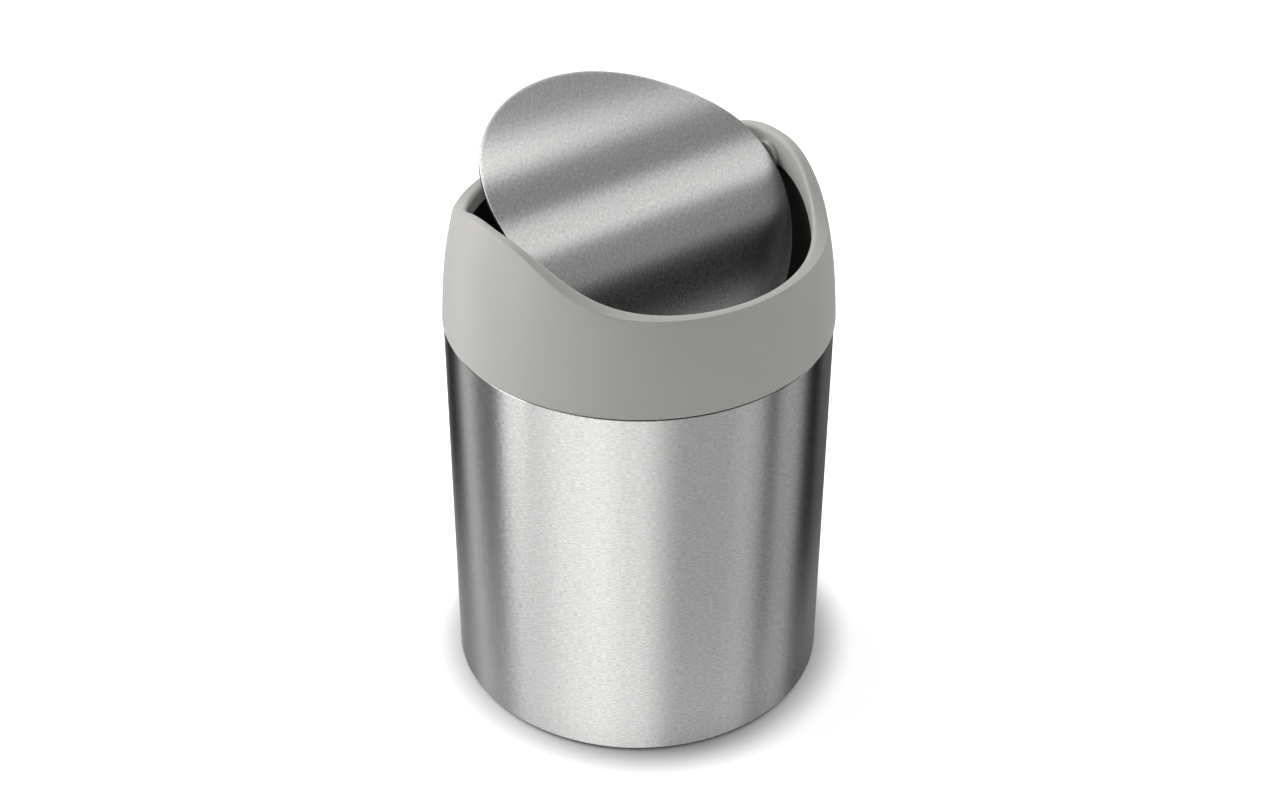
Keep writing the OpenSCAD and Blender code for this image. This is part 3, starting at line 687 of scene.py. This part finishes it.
# the ribs run from front to back, and taper off before the edge
reach_v = np.linspace(-1, 1, 81)[:, None] * RIB_HALF
fade = np.maximum(1 - step(np.abs(reach_v), RIB_FADE, RIB_HALF), 0.05)
rib = rounded([[-RIB_W / 2, RIB_TOP], [RIB_W / 2, RIB_TOP], [RIB_W / 2 - 0.15, RIB_DROP],
               [-RIB_W / 2 + 0.15, RIB_DROP]], [0, 0, 0.5, 0.5])
rib_x, rib_v = np.broadcast_arrays(rib[:, 0] + SCREW_X, reach_v)
rib = np.stack([rib_x, rib_v, arch(reach_v) - RIB_TOP - (rib[:, 1] - RIB_TOP) * fade], -1)
under_plate = skin("lid_under_plate", tipped(leaf(0.3, PLATE_TOP, PLATE_LOW, 0.2, 0.6)),
                   *map(tipped, both_sides(hub)),
                   *[(tipped(half), True) for half in both_sides(dog)], *map(tipped, both_sides(post)),
                   *[(tipped(half), True) for half in both_sides(rib)])
under_plate.data.materials.append(black_plastic)
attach(under_plate, "lid")
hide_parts("lid_base")


# The counterweight. A bar of flat steel with rounded ends hangs on the posts below the pivot and swings the
# lid level again; two pan-head screws with cross recesses cut their own threads in the posts.
BAR_L, BAR_W, BAR_T = 60.0, 8.0, 4.0
turn = np.radians(np.concatenate([np.linspace(-90, 90, 25), np.linspace(90, 270, 25), [-90]]))
middle = np.repeat([1, -1, 1], [25, 25, 1]) * (BAR_L - BAR_W) / 2
bar_edge = rounded([[0, 0], [BAR_W / 2, 0], [BAR_W / 2, -BAR_T], [0, -BAR_T]], [0, 0.5, 0.5, 0])[6:18]
bar = turned(bar_edge, turn) + np.stack([middle, 0 * middle, 0 * middle + WEIGHT_TOP], -1)[:, None]
weight_bar = skin("weight_bar", (tipped(np.swapaxes(bar, 0, 1)), True))
weight_bar.data.materials.append(plain_steel("steel_flat_bar", 0.38))
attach(weight_bar, "lid")
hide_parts("counterweight")

HEAD_R, HEAD_H, SHANK_R, SCREW_TIP = 2.8, 2.0, 1.4, -0.6
head_low = WEIGHT_TOP - BAR_T - HEAD_H
pan = rounded([[0, head_low], [1.9, head_low], [HEAD_R, head_low + 0.9], [HEAD_R, head_low + HEAD_H],
               [SHANK_R, head_low + HEAD_H], [SHANK_R, SCREW_TIP], [0, SCREW_TIP]],
              [0, 0.9, 0.5, 0.15, 0.1, 0.4, 0])
# the head's face has closer steps, for the cross recess that is pressed into it
face = np.stack([np.linspace(0, 1.4, 15), np.full(15, head_low)], -1)
pan = np.concatenate([face, pan[6:]])
screw = turned(pan, np.radians(np.linspace(0, 360, 97)))
cross = np.minimum(np.abs(screw[..., 0]), np.abs(screw[..., 1]))
recess = (1 - step(cross, 0.3, 0.5)) * (1 - step(np.hypot(screw[..., 0], screw[..., 1]), 1.3, 1.6))
screw[..., 2] += np.where(screw[..., 2] < head_low + 0.4, recess, 0)
screws = skin("pan_head_screws", *map(tipped, both_sides(screw + [SCREW_X, 0, 0])))
screws.data.materials.append(turned_steel)
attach(screws, "lid")
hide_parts("weight_screws")
